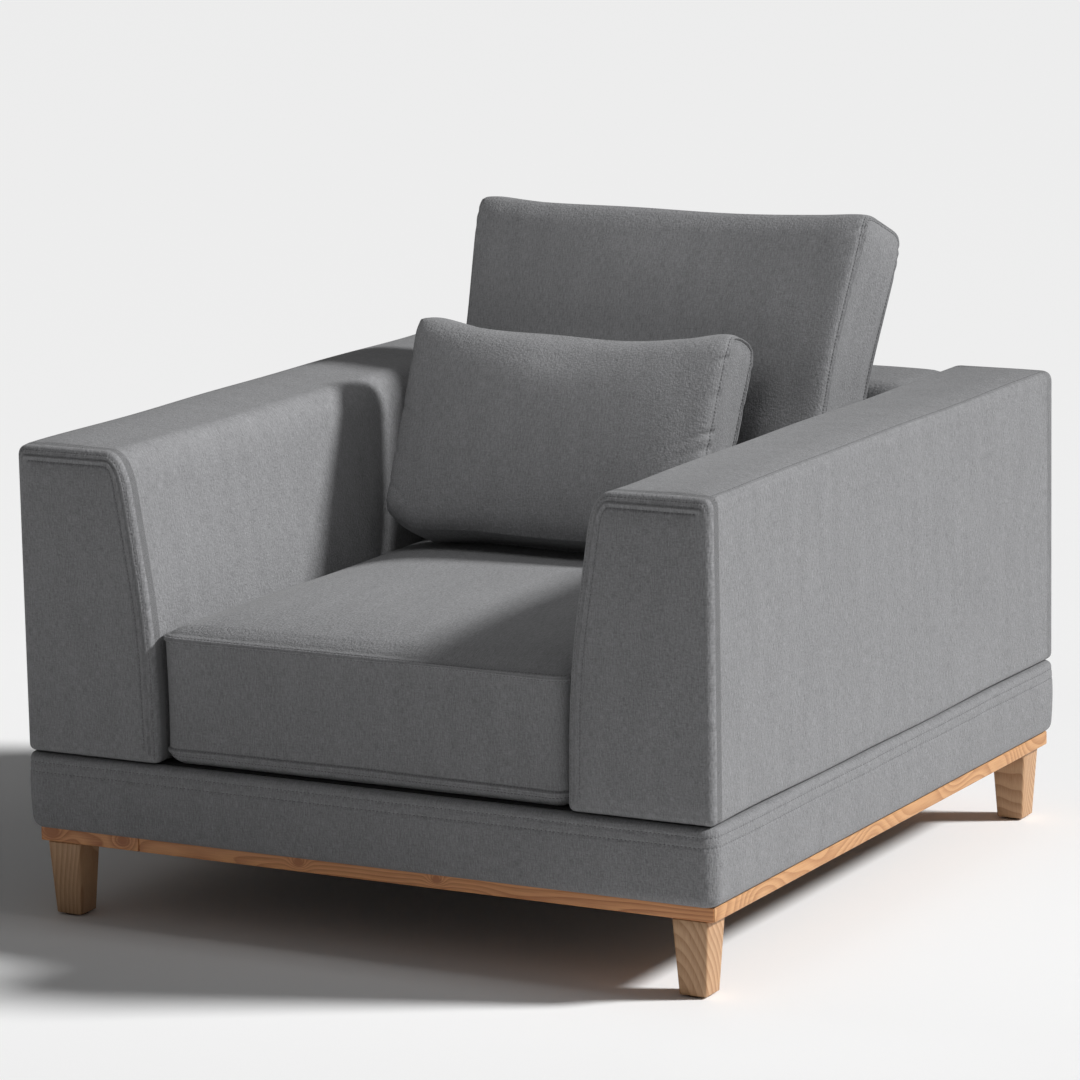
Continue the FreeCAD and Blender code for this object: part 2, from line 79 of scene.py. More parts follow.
# ---- materials' wiring --------------------------------------------------
# Every finish below is written with this one class, as sums and products.
class Signal:
    """A value, colour or vector on its way through the nodes of a material."""

    def __init__(self, tree, socket=None):
        self.tree = tree
        self.socket = socket

    def node(self, kind, settings=None, inputs=None, output=0):
        """Adds a node: first its settings, a ramp's stops among them, then numbers or signals."""
        made = self.tree.nodes.new(kind)
        for key, value in (settings or {}).items():
            if key == "stops":
                stops = made.color_ramp.elements
                while len(stops) < len(value):
                    stops.new(1.0)
                for stop, (position, colour) in zip(stops, value):
                    stop.position = position
                    stop.color = colour
            else:
                setattr(made, key, value)
        for key, value in (inputs or {}).items():
            if isinstance(value, Signal):
                self.tree.links.new(value.socket, made.inputs[key])
            else:
                made.inputs[key].default_value = value
        return Signal(self.tree, made.outputs[output] if len(made.outputs) else None)

    def math(self, operation, *others):
        return self.node("ShaderNodeMath", {"operation": operation}, dict(enumerate((self, *others))))

    def __add__(self, other):
        return self.math("ADD", other)

    def __sub__(self, other):
        return self.math("SUBTRACT", other)

    def __rsub__(self, other):
        return self.math("MULTIPLY", -1.0).math("ADD", other)

    def __mul__(self, other):
        return self.math("MULTIPLY", other)

    __radd__ = __add__
    __rmul__ = __mul__

    def between(self, low, high):
        """0 below the low value, 1 above the high one, and even in between."""
        ends = {"Value": self, "From Min": low, "From Max": high}
        return self.node("ShaderNodeMapRange", {"clamp": True}, ends)

    def stretched(self, x, y, z):
        """A place, scaled along each axis."""
        return self.node("ShaderNodeVectorMath", {"operation": "MULTIPLY"}, {0: self, 1: (x, y, z)})

    def noise(self, detail=2.0, roughness=0.5):
        """Smooth noise with features about one unit across, from 0 to 1."""
        sizes = {"Vector": self, "Scale": 1.0, "Detail": detail, "Roughness": roughness}
        return self.node("ShaderNodeTexNoise", {}, sizes)

    def blend(self, first, second):
        """The first colour where this signal is 0 and the second where it is 1."""
        return self.node("ShaderNodeMix", {"data_type": "RGBA"}, {0: self, 6: first, 7: second}, 2)

    def bump(self, strength, distance):
        return self.node("ShaderNodeBump", {}, {"Strength": strength, "Distance": distance, "Height": self})


def new_material(name):
    """A material with no nodes, and the signal that its first nodes hang on."""
    material = bpy.data.materials.new(name)
    material.use_nodes = True
    material.node_tree.nodes.clear()
    return material, Signal(material.node_tree)


def finished(material, start, **inputs):
    """Closes a material with one shader; underscores in the names stand for spaces."""
    named = {key.replace("_", " "): value for key, value in inputs.items()}
    shader = start.node("ShaderNodeBsdfPrincipled", {}, named)
    start.node("ShaderNodeOutputMaterial", {}, {"Surface": shader})
    return material


# ---- floor and light ----------------------------------------------------
# A plain pale floor without an edge in view, one large soft light from the
# right and a little behind the chair, and a small one hung above the seat.
def make_stage():
    half = 60.0
    corners = [(-half, -half, 0), (half, -half, 0), (half, half, 0), (-half, half, 0)]
    mesh = bpy.data.meshes.new("floor")
    mesh.from_pydata(corners, [], [(0, 1, 2, 3)])
    floor = bpy.data.objects.new("floor", mesh)
    scene.collection.objects.link(floor)
    material, start = new_material("pale_floor")
    pale = (0.92, 0.92, 0.92, 1.0)
    mesh.materials.append(finished(material, start, Base_Color=pale, Roughness=0.9))


def hang(name, lamp, place, way):
    """Puts a lamp at a place. It shines against the way, which is its own third axis."""
    z = np.array(way) / np.linalg.norm(way)
    x = np.cross((0, 1, 0), z)
    x /= np.linalg.norm(x)
    y = np.cross(z, x)
    shining = bpy.data.objects.new(name, lamp)
    turned = [[x[i], y[i], z[i], place[i]] for i in range(3)]
    shining.matrix_world = Matrix(turned + [[0, 0, 0, 1]])
    shining.visible_camera = False
    scene.collection.objects.link(shining)


def sun(name, way, strength, softness):
    """A distant light that shines from the given way; softness is its angle in degrees."""
    lamp = bpy.data.lights.new(name, "SUN")
    lamp.energy = strength
    lamp.angle = math.radians(softness)
    hang(name, lamp, (0, 0, 0), way)


def softbox(name, place, aim, size, power):
    """A square lamp above the seat, turned towards the point that it aims at."""
    lamp = bpy.data.lights.new(name, "AREA")
    lamp.energy = power
    lamp.size = size
    hang(name, lamp, place, np.subtract(place, aim))


make_stage()
sun("key", (1.25, 0.58, 1.02), 4.35, 9.0)
softbox("above", (0.12, -0.45, 1.32), (0.0, 0.30, 0.86), 0.6, 3.2)
world = bpy.data.worlds.new("studio")
world.use_nodes = True
sky = world.node_tree.nodes["Background"].inputs
sky["Color"].default_value = (1.0, 1.0, 1.0, 1.0)
sky["Strength"].default_value = 0.125
scene.world = world
scene.view_settings.view_transform = "Standard"


# ---- legs ---------------------------------------------------------------
# Four legs of solid oak, sawn square, tapered on all four sides and sanded,
# with their long edges eased. Each is held by a headless bolt.
def corners_of(node):
    """The lowest and the highest corner of a node's box, as arrays."""
    return [np.array(corner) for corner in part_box(node)]


def stations(low, high, radius, step, turns):
    """Places along one side of a box: even steps, and equal angles in the rounded ends."""
    ends = radius * (1 - np.tan(np.linspace(math.pi / 4, 0, turns + 1)))
    count = max(int(round((high - low - 2 * radius) / step)), 1)
    middle = np.linspace(low + radius, high - radius, count + 1)[1:-1]
    return np.concatenate([low + ends, middle, high - ends[::-1]])


def box_grid(xs, ys, zs):
    """The surface of a box, as the outside of a lattice of xs by ys by zs.

    Gives its points, its quads, each turned outwards, and the axis that each quad faces along."""
    index = np.full((len(xs), len(ys), len(zs)), -1)
    outside = np.zeros(index.shape, bool)
    outside[[0, -1]] = True
    outside[:, [0, -1]] = True
    outside[:, :, [0, -1]] = True
    index[outside] = np.arange(outside.sum())
    points = np.stack(np.meshgrid(xs, ys, zs, indexing="ij"), -1)[outside]
    quads, facing = [], []
    for axis in range(3):
        for end in (0, -1):
            layer = np.take(index, end, axis)
            quad = np.stack([layer[:-1, :-1], layer[1:, :-1], layer[1:, 1:], layer[:-1, 1:]], -1)
            quad = quad.reshape(-1, 4)
            turned_out = (end == -1) != (axis == 1)
            quads.append(quad if turned_out else quad[:, ::-1])
            facing.append(np.full(len(quad), axis))
    return points, np.concatenate(quads), np.concatenate(facing)


def rounded(points, radius):
    """Rounds the edges of a box. A point is drawn onto the ellipsoid, with the radius given for
    each axis, about the nearest point of the box that is smaller by those radii."""
    radius = np.broadcast_to(np.asarray(radius, float), (3,))
    centre = np.clip(points, points.min(0) + radius, points.max(0) - radius)
    reach = (points - centre) / radius
    return centre + radius * reach / np.linalg.norm(reach, axis=1, keepdims=True)


def make_piece(name, points, faces, material, body, cloth=None):
    """One smooth-shaded mesh that rides on a body. cloth gives each face corner its place on
    the flat fabric, in metres."""
    mesh = bpy.data.meshes.new(name)
    faces = faces if isinstance(faces, list) else faces.tolist()
    mesh.from_pydata(np.asarray(points).tolist(), [], faces)
    mesh.polygons.foreach_set("use_smooth", np.ones(len(mesh.polygons), bool))
    if cloth is not None:
        mesh.uv_layers.new(name="cloth").data.foreach_set("uv", np.ravel(cloth))
    mesh.materials.append(material)
    piece = bpy.data.objects.new(name, mesh)
    scene.collection.objects.link(piece)
    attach(piece, body)
    return piece


def wood(name, light, dark, grain, heart, rings, slope, knots=(), knot_height=0.0):
    """Sawn wood. The rings lie round an axis along the grain, through the heart, that wanders a
    little, so that a flat face cuts them in long arches; fine fibres and pores run along the
    grain. A knot adds a steep hill to the ring count, which closes the rings about it."""
    material, start = new_material(name)
    object_place = start.node("ShaderNodeTexCoord", {}, {}, "Object")
    place = object_place.node("ShaderNodeMapping", {}, {"Vector": object_place, "Rotation": grain})
    wander = place.stretched(4.0, 9.0, 9.0).noise(1.0)
    cut = place.node("ShaderNodeSeparateXYZ", {}, {"Vector": place})
    along, across, through = (Signal(cut.tree, cut.socket.node.outputs[i]) for i in range(3))
    tilt_across = across - heart[0] + along * slope + (wander - 0.5) * 0.10
    tilt_through = through - heart[1] + (wander - 0.5) * 0.05
    count = (tilt_across * tilt_across + tilt_through * tilt_through).math("SQRT") * rings
    core = along * 0.0
    knot_flatness, knot_rings = 2.2, 3.4
    for knot, size in knots:
        beside, above = along - knot, through - knot_height
        near = beside * beside + above * above * knot_flatness
        near = (near * (-1.0 / size ** 2)).math("EXPONENT")
        count = count + near * knot_rings
        core = core + near.between(0.50, 0.90) * 0.9
    fibre = place.stretched(22.0, 900.0, 900.0).noise(3.0)
    pores = place.stretched(60.0, 1700.0, 1700.0).noise(1.0).between(0.60, 0.72)
    year = (count + fibre * 0.10).math("FRACT")
    late = year.between(0.25, 0.92) * (1.0 - year.between(0.93, 1.0))
    shade = late * 0.66 + fibre.between(0.3, 0.7) * 0.34 + pores * 0.16 + core
    patch = place.stretched(5.0, 14.0, 14.0).noise(1.0).between(0.3, 0.7)
    base = shade.math("MINIMUM", 1.0).blend((*light, 1.0), (*dark, 1.0))
    warm = tuple(c * f for c, f in zip(light, (0.92, 0.84, 0.74)))
    base = (patch * 0.35).blend(base, (*warm, 1.0))
    relief = (1.0 - late * 0.3 - pores * 0.7).bump(0.22, 0.0004)
    rough = 0.42 + late * 0.10 + pores * 0.15
    return finished(material, start, Base_Color=base, Roughness=rough, Normal=relief)


UPRIGHT = (0.0, math.pi / 2, 0.0)
ALONG_Y = (0.0, 0.0, math.pi / 2)
ALONG_X = (0.0, 0.0, 0.0)
oak = wood(
    "oak_legs", (0.53, 0.330, 0.185), (0.30, 0.150, 0.065), UPRIGHT, (-0.62, -0.40), 130.0, 0.45,
)


def make_leg(name):
    """A square box, eased along its edges, then scaled with the height from top to foot."""
    foot_share = 40.0 / 53.0
    ease, ease_at_ends, step = 0.0042, 0.0015, 0.012
    low, high = corners_of(name)
    middle, half = (low + high) / 2, (high - low) / 2
    side = stations(-half[0], half[0], ease, step, 2)
    heights = stations(-half[2], half[2], ease_at_ends, step, 2)
    points, quads, facing = box_grid(side, side, heights)
    points = rounded(points, (ease, ease, ease_at_ends))
    share = (points[:, 2] + half[2]) / (2 * half[2])
    points[:, :2] *= (foot_share + (1 - foot_share) * share)[:, None]
    leg = make_piece("oak_" + name, points + middle, quads, oak, "chair_frame")
    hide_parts(name)


for place in ("front_left", "front_right", "rear_left", "rear_right"):
    make_leg("leg_" + place)


# ---- plinth -------------------------------------------------------------
# Four flat rails of stained pine under the base, mitred at the corners. The
# front one is made up of two lengths, butted beside the left leg. The front and
# rear rails are redder and brighter than the sides: partly the pine's own tone,
# partly painted warm reflected light.
# Front and rear rails: the pine's tone with painted warm reflected light in it, redder and brighter than
# the side rails.
pine_painted_bounce = wood(
    "pine_rail_painted_bounce", (0.66, 0.310, 0.122), (0.31, 0.098, 0.034), ALONG_X, (-0.52, 0.098), 190.0, 0.030,
    [(-0.505, 0.021), (-0.387, 0.017), (-0.105, 0.013), (0.109, 0.012)], 0.119,
)
pine_side = wood(
    "pine_side_rails", (0.56, 0.310, 0.140), (0.30, 0.130, 0.050), ALONG_Y, (0.0, 0.060), 260.0, 0.004,
)


def make_rail(name, node, along, start, stop, outer, material):
    """A bar with eased edges along one side of the plinth. start and stop are its two ends and
    whether each is mitred; there it shortens by as much as a point lies inside the outer face."""
    across = 1 - along
    low, high = corners_of(node)
    ease, end_ease = 0.0016, 0.004
    ends = stations(-1.0, 1.0, end_ease, 0.03, 2)
    depths = stations(0.0, RAIL_WIDTH, ease, 0.012, 2)
    heights = stations(low[2], high[2], ease, 0.006, 2)
    grid, quads, facing = box_grid(ends, depths, heights)
    grid = rounded(grid, (end_ease, ease, ease))
    points = np.zeros_like(grid)
    share = (grid[:, 0] + 1) / 2
    from_start = start[0] + grid[:, 1] * start[1]
    from_stop = stop[0] - grid[:, 1] * stop[1]
    points[:, along] = from_start * (1 - share) + from_stop * share
    points[:, across] = outer - np.sign(outer) * grid[:, 1]
    points[:, 2] = grid[:, 2]
    if (across == 1) == (outer > 0):
        quads = quads[:, ::-1]
    rail = make_piece(name, points, quads, material, "chair_frame")
    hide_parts(node)


(LEFT, FRONT, _), (RIGHT, front_inside, _) = corners_of("plinth_rail_front")
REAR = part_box("plinth_rail_rear")[1][1]
RAIL_WIDTH = front_inside - FRONT
BUTT, BUTT_GAP = -0.3615, 0.0004
for name, end, along, start, stop, outer, material in (
    ("front_short", "front", 0, (LEFT, True), (BUTT - BUTT_GAP, False), FRONT, pine_painted_bounce),
    ("front", "front", 0, (BUTT + BUTT_GAP, False), (RIGHT, True), FRONT, pine_painted_bounce),
    ("rear", "rear", 0, (LEFT, True), (RIGHT, True), REAR, pine_painted_bounce),
    ("left", "left", 1, (FRONT, True), (REAR, True), -RIGHT, pine_side),
    ("right", "right", 1, (FRONT, True), (REAR, True), RIGHT, pine_side),
):
    make_rail("pine_rail_" + name, "plinth_rail_" + end, along, start, stop, outer, material)


# ---- hidden structure ---------------------------------------------------
# The timber, boards, springs, clips, bolts, webbing and felt inside keep the
# shape they were designed with, and get the finish of their own material.
def plain_finish(name, light, dark, sizes, roughness, metallic=0.0):
    """Two close colours mixed by a noise that is stretched to the material's own grain."""
    material, start = new_material(name)
    place = start.node("ShaderNodeTexCoord", {}, {}, "Object")
    grain = place.stretched(*sizes).noise(3.0)
    base = grain.between(0.3, 0.7).blend((*light, 1.0), (*dark, 1.0))
    rough = roughness + (grain - 0.5) * 0.2
    relief = grain.bump(0.3, 0.0002)
    return finished(
        material, start, Base_Color=base, Roughness=rough, Metallic=metallic, Normal=relief,
    )


FINISHES = {
    kind: plain_finish(*values)
    for kind, *values in (
        ("frame_timber", "spruce", (0.60, 0.42, 0.24), (0.42, 0.26, 0.13), (30, 300, 300), 0.7),
        ("hardboard", "hardboard_brown", (0.24, 0.14, 0.08), (0.17, 0.09, 0.05), (400,) * 3, 0.75),
        ("foam", "pale_foam", (0.80, 0.76, 0.62), (0.70, 0.65, 0.50), (700,) * 3, 0.95),
        ("zinc_steel", "zinc", (0.62, 0.63, 0.66), (0.50, 0.51, 0.53), (90,) * 3, 0.35, 1.0),
        ("spring_steel", "dark_wire", (0.16, 0.16, 0.17), (0.09, 0.09, 0.10), (200,) * 3, 0.4, 1.0),
        ("webbing", "black_webbing", (0.05, 0.05, 0.05), (0.02, 0.02, 0.02), (900, 200, 900), 0.9),
        ("felt", "brown_felt", (0.14, 0.09, 0.06), (0.09, 0.06, 0.04), (900,) * 3, 0.98),
        ("lining", "black_lining", (0.035, 0.035, 0.037), (0.02, 0.02, 0.02), (800,) * 3, 0.95),
    )
}
for node in nodes.values():
    for slot in node.material_slots:
        if slot.material and slot.material.name in FINISHES:
            slot.material = FINISHES[slot.material.name]


# ---- upholstery cloth ---------------------------------------------------
# A soft heathered weave in mid grey: thick and thin yarns run up and down the
# faces, with finer ones across, and a slight bloom on the surface.
def upholstery(name, grey):
    """Yarn noise, long one way for the warp and the other way for the weft, over the cloth's
    own coordinates; it sets the colour, the roughness and the relief together."""
    material, start = new_material(name)
    place = start.node("ShaderNodeUVMap", {"uv_map": "cloth"})
    warp = place.stretched(640.0, 80.0, 1.0).noise(2.0)
    weft = place.stretched(90.0, 800.0, 1.0).noise(2.0)
    fleck = place.stretched(560.0, 330.0, 1.0).noise(3.0, 0.65)
    cloud = place.stretched(40.0, 9.0, 1.0).noise(3.0)
    yarn = warp * 0.42 + weft * 0.18 + fleck * 0.40
    light = tuple(c * 1.33 for c in grey)
    dark = tuple(c * 0.71 for c in grey)
    mixed = yarn.between(0.38, 0.62) * 0.84 + cloud.between(0.3, 0.7) * 0.16
    base = mixed.blend((*dark, 1.0), (*light, 1.0))
    rough = 0.80 + fleck * 0.16
    crepe = place.stretched(260.0, 230.0, 1.0).noise(2.0)
    relief = (yarn + crepe * 0.8).bump(0.9, 0.0017)
    return finished(
        material, start, Base_Color=base, Roughness=rough, Normal=relief,
        Sheen_Weight=0.12, Sheen_Roughness=0.4, Specular_IOR_Level=0.25,
    )


fabric = upholstery("grey_upholstery", (0.198, 0.199, 0.204))


def thread_finish():
    """Spun polyester thread, a little darker than the cloth."""
    material, start = new_material("grey_thread")
    place = start.node("ShaderNodeTexCoord", {}, {}, "Object")
    twist = place.stretched(2500.0, 2500.0, 2500.0).noise(1.0)
    base = twist.blend((0.07, 0.07, 0.073, 1.0), (0.13, 0.13, 0.135, 1.0))
    return finished(material, start, Base_Color=base, Roughness=0.6, Normal=twist.bump(0.3, 0.0002))


thread = thread_finish()


# ---- deck cloth and dust cover ------------------------------------------
# A strong lining cloth is tacked over the springs, and a thin black one under
# the frame. Both are pulled flat.
def stretched_cloth(name, node, sag):
    """A flat sheet with a slight sag, deepest in the middle, like sin times sin."""
    low, high = corners_of(node)
    xs, ys = (np.linspace(low[i], high[i], 49) for i in (0, 1))
    points, quads, facing = box_grid(xs, ys, np.array([low[2], high[2]]))
    share = (points[:, :2] - low[:2]) / (high - low)[:2]
    points[:, 2] -= sag * np.sin(math.pi * share[:, 0]) * np.sin(math.pi * share[:, 1])
    sheet = make_piece(name, points, quads, FINISHES["lining"], "chair_frame")
    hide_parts(node)


stretched_cloth(
    "deck_lining", "deck_cloth", 0.0,
)
stretched_cloth(
    "dust_lining", "dust_cover", 0.0006,
)


# ---- upholstered base band ----------------------------------------------
# Foam round the outside of the base frame under a band of the same cloth. It
# swells a little under the gap line and turns in at its lower edge; two faint
# lines of stitching run along its upper part, and it is joined at one corner.
def gauss(distance, width):
    """A bell that is 1 at no distance and 1/e at the width."""
    return np.exp(-((distance / width) ** 2))


def smooth(value, low, high):
    """0 up to the low value, 1 from the high one, eased in between."""
    share = np.clip((value - low) / (high - low), 0, 1)
    return share * share * (3 - 2 * share)


def bend(start, corner, stop, count):
    """A parabola from start to stop that leaves towards the corner and arrives from it."""
    t = np.linspace(0, 1, count)[:, None]
    return (1 - t) ** 2 * start + 2 * t * (1 - t) * corner + t ** 2 * stop


def outline(corners, inset, step):
    """A closed outline with bends at its corners, drawn in by an inset.

    Each corner is a point, the lengths of its bend before and after it, and a count of points.
    The corners move in along both their sides, and the bends shorten by the same amount."""
    points = np.array([corner[:2] for corner in corners], float)
    ahead = np.roll(points, -1, 0) - points
    lengths = np.linalg.norm(ahead, axis=1)
    ahead /= lengths[:, None]
    inward = np.stack([-ahead[:, 1], ahead[:, 0]], -1)
    before_in, before_way = np.roll(inward, 1, 0), np.roll(ahead, 1, 0)
    moved = (inward + before_in) / (1 + np.sum(inward * before_in, 1))[:, None]
    places = points + inset * moved
    pieces = []
    for i, (x, y, before, after, count) in enumerate(corners):
        shorter = [max(length - inset, 0.0012) for length in (before, after)]
        start = places[i] - before_way[i] * shorter[0]
        stop = places[i] + ahead[i] * shorter[1]
        pieces.append(bend(start, places[i], stop, count))
        following = (i + 1) % len(corners)
        lead = max(corners[following][2] - inset, 0.0012)
        finish = places[following] - ahead[i] * lead
        free = lengths[i] - after - corners[following][2]
        between = np.linspace(0, 1, max(int(round(free / step)), 1) + 1)[1:-1, None]
        pieces.append(stop + (finish - stop) * between)
    return np.concatenate(pieces)


def grid_normals(points):
    """Outward directions of a grid of rings, from its two sets of differences."""
    along = np.gradient(points, axis=0)
    round_about = (np.roll(points, -1, 1) - np.roll(points, 1, 1)) / 2
    normal = np.cross(along, round_about)
    return normal / np.maximum(np.linalg.norm(normal, axis=2, keepdims=True), 1e-12)


def ring_faces(rings, count, joined=False):
    """Quads between neighbouring closed rings of points; joined links the last to the first."""
    rows = np.arange(rings if joined else rings - 1)[:, None]
    i = np.arange(count)[None, :]
    j = (i + 1) % count
    following = (rows + 1) % rings
    corners = [rows * count + i, following * count + i, following * count + j, rows * count + j]
    return np.stack(corners, -1).reshape(-1, 4)


def ring_cloth(u, v, rings, count, joined=False):
    """The flat cloth coordinates of those quads' corners; u and v run one past the last point."""
    rows = np.arange(rings if joined else rings - 1)[:, None]
    i = np.arange(count)[None, :]
    pairs = [(rows, i), (rows + 1, i), (rows + 1, i + 1), (rows, i + 1)]
    return np.stack([np.stack([u[a, b], v[a, b]], -1) for a, b in pairs], 2).reshape(-1, 2)


def distance_along(line):
    """How far each point lies from the first, along the line through them."""
    return np.concatenate([[0], np.cumsum(np.linalg.norm(np.diff(line, axis=0), axis=1))])


def stitch_rows(name, rows, body, pitch=0.0052, long=0.0034, thick=0.00052):
    """Stitches along lines on a surface. Each is a spindle of six sides that lies half sunk;
    rows holds pairs of arrays: the points of a line, and the outward directions there."""
    around = np.linspace(0, 2 * math.pi, 6, endpoint=False)
    ends = np.array([-0.5, -0.34, 0.0, 0.34, 0.5])
    girth = np.array([0.05, 0.8, 1.0, 0.8, 0.05])
    faces = ring_faces(5, 6)
    caps = [list(range(6)), list(range(29, 23, -1))]
    all_points, all_faces, made = [], [], 0
    for line, outward in rows:
        run = distance_along(line)
        at = np.arange(pitch / 2, run[-1], pitch)
        middle, normal, before, after = (
            np.stack([np.interp(where, run, table[:, i]) for i in range(3)], -1)
            for where, table in ((at, line), (at, outward), (at - long / 2, line), (at + long / 2, line))
        )
        way = after - before
        way /= np.maximum(np.linalg.norm(way, axis=1, keepdims=True), 1e-9)
        normal -= way * np.sum(way * normal, 1, keepdims=True)
        normal /= np.maximum(np.linalg.norm(normal, axis=1, keepdims=True), 1e-9)
        beside = np.cross(way, normal)
        spindle = (
            middle[:, None, None] + normal[:, None, None] * thick * 0.3
            + way[:, None, None] * (ends * long)[None, :, None, None]
            + (beside[:, None, None] * np.cos(around)[None, None, :, None]
               + normal[:, None, None] * np.sin(around)[None, None, :, None])
            * (girth * thick)[None, :, None, None]
        )
        for k in range(len(at)):
            offset = (made + k) * 30
            all_faces += (faces + offset).tolist()
            all_faces += [[v + offset for v in cap] for cap in caps]
        made += len(at)
        all_points.append(spindle.reshape(-1, 3))
    return make_piece(name, np.concatenate(all_points), all_faces, thread, body)


def make_band():
    """The band's section, carried round a rectangle with rounded corners. The section is given
    as distances outwards from the base frame's rounded corner line, and heights."""
    low, high = corners_of("border_cover")
    corner_radius = 0.022
    proud = 0.0012
    depth, under = 0.016, low[2] + 0.0004
    top = high[2] - 0.0008
    heights = np.concatenate([
        np.linspace(under + 0.016, top - 0.030, 7)[:-1],
        np.linspace(top - 0.030, top - 0.009, 15),
    ])
    share = (heights - under) / (top - under)
    face = np.stack([proud + 0.0028 * np.sin(math.pi * share ** 1.15), heights], -1)
    lower = bend(np.array([-depth, under]), np.array([0.0005, under]), face[0], 12)[:-1]
    upper = bend(face[-1], np.array([face[-1, 0] * 0.6, top]), np.array([-0.010, top]), 10)[1:]
    closing = np.array([[-depth, top], [-depth, (top + under) / 2]])
    section = np.concatenate([lower, face, upper, closing])
    half = high[:2] - corner_radius
    quarter = np.linspace(0, math.pi / 2, 13)
    path, ways = [], []
    for turn, (sx, sy) in enumerate(((1, 1), (-1, 1), (-1, -1), (1, -1))):
        angles = quarter + turn * math.pi / 2
        way = np.stack([np.cos(angles), np.sin(angles)], -1)
        arc = np.tile(half * (sx, sy), (13, 1))
        other = half * ((-sx, sy) if turn % 2 == 0 else (sx, -sy))
        count = int(np.linalg.norm(other - arc[0]) / 0.016)
        straight = arc[0] + (other - arc[0]) * np.linspace(0, 1, count + 1)[1:-1, None]
        path += [arc, straight]
        ways += [way, np.tile(way[-1], (len(straight), 1))]
    path, ways = np.concatenate(path), np.concatenate(ways)
    outward = corner_radius + section[None, :, 0]
    points = np.empty((len(path), len(section), 3))
    points[..., :2] = path[:, None] + ways[:, None] * outward[..., None]
    points[..., 2] = section[None, :, 1]
    lower_line = 8
    run = distance_along(points[:, lower_line, :2])
    wave = 0.0006 * np.sin(run * 21.0) + 0.0004 * np.sin(run * 53.0 + 1.0)
    on_face = smooth(section[:, 0], -0.004, 0.001)
    points[..., :2] += (ways * wave[:, None])[:, None] * on_face[None, :, None]
    stitched = [top - 0.0125, top - 0.0255]
    for line in stitched:
        pulled = 0.0009 * gauss(section[:, 1] - line, 0.0016) * on_face
        points[..., :2] -= pulled[None, :, None] * ways[:, None]
    join = np.array([high[0] - 0.004, low[1] + 0.006])
    from_join = np.linalg.norm(points[:, lower_line, :2] - join, axis=1)
    from_join *= np.where(path[:, 0] < half[0] - 1e-6, 1.0, -1.0)
    seam = -0.0016 * gauss(from_join, 0.0022) + 0.0012 * gauss(from_join - 0.006, 0.003)
    points[..., :2] += (ways * seam[:, None])[:, None] * on_face[None, :, None]
    rings, count = points.shape[:2]
    faces = ring_faces(rings, count, joined=True)
    length = run[-1] + np.linalg.norm(points[0, lower_line] - points[-1, lower_line])
    around = distance_along(section)
    u = np.tile(np.append(run, length)[:, None], (1, count + 1))
    v = np.tile(np.append(around, around[-1] + 0.03)[None, :], (rings + 1, 1))
    cloth = ring_cloth(u, v, rings, count, joined=True)
    band = make_piece("base_band", points.reshape(-1, 3), faces, fabric, "chair_frame", cloth)
    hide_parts("border_cover", *["border_pad_" + end for end in ("front", "rear", "left", "right")])
    rows = []
    for line in stitched:
        at = int(np.argmin(np.abs(section[:, 1] - line) + (section[:, 0] < 0)))
        loop = np.concatenate([points[:, at], points[:1, at]])
        normal = np.concatenate([ways, ways[:1]])
        rows.append((loop, np.concatenate([normal, np.zeros((len(normal), 1))], 1)))
    stitch_rows("base_band_stitches", rows, "chair_frame", pitch=0.0062)


make_band()


# ---- arms ---------------------------------------------------------------
# Each arm is a padded box under a fitted cover. The front panel is let in with
# a lapped seam along its top and its inner side: a ridge between two lines of
# stitching, which curls round the outer corner and ends there. A topstitched
# join runs back along the outer top edge.
ARM_LOW, ARM_HIGH = corners_of("arm_cover_right")
ARM_INNER_TOP, ARM_BEND, ARM_BEND_Z = 0.358, 0.3195, 0.420
ARM_SHAPE = [
    (0.430, ARM_LOW[2] + 0.0006, 0.02, 0.02, 2),
    (ARM_HIGH[0], ARM_LOW[2] + 0.0006, 0.011, 0.011, 7),
    (ARM_HIGH[0], ARM_HIGH[2] - 0.0005, 0.016, 0.016, 15),
    (ARM_INNER_TOP, ARM_HIGH[2] - 0.0005, 0.030, 0.056, 22),
    (ARM_BEND, ARM_BEND_Z, 0.09, 0.09, 16),
    (ARM_LOW[0] + 0.0005, ARM_LOW[2] + 0.0006, 0.012, 0.012, 7),
]
ARM_STEP = 0.0095


def running_length(loop):
    """The distance from the first point round a closed outline, one value past the last."""
    steps = np.linalg.norm(np.roll(loop, -1, 0) - loop, axis=1)
    return np.concatenate([[0], np.cumsum(steps)])


def with_ends(points, cloth, flat_axes):
    """A tube of rings, closed at both ends by fans of triangles about the middle of each end.
    The cloth of the ends lies flat along the two axes given."""
    rings, count = points.shape[:2]
    i = np.arange(count)
    j = (i + 1) % count
    total, last = rings * count, (rings - 1) * count
    fans = np.concatenate([
        np.stack([np.full(count, total), i, j], -1),
        np.stack([np.full(count, total + 1), last + j, last + i], -1),
    ])
    poles = [points[0].mean(0), points[-1].mean(0)]
    all_points = np.concatenate([points.reshape(-1, 3), poles])
    cloth = np.concatenate([cloth, all_points[fans.ravel()][:, flat_axes]])
    return all_points, ring_faces(rings, count).tolist() + fans.tolist(), cloth


def arm_inner_line():
    """The inner side of an arm's outline, from its foot upwards, as two rows: x and z."""
    arm = outline(ARM_SHAPE, 0.0, ARM_STEP)
    inner = arm[arm[:, 0] < 0.440]
    return inner[np.argsort(inner[:, 1])].T


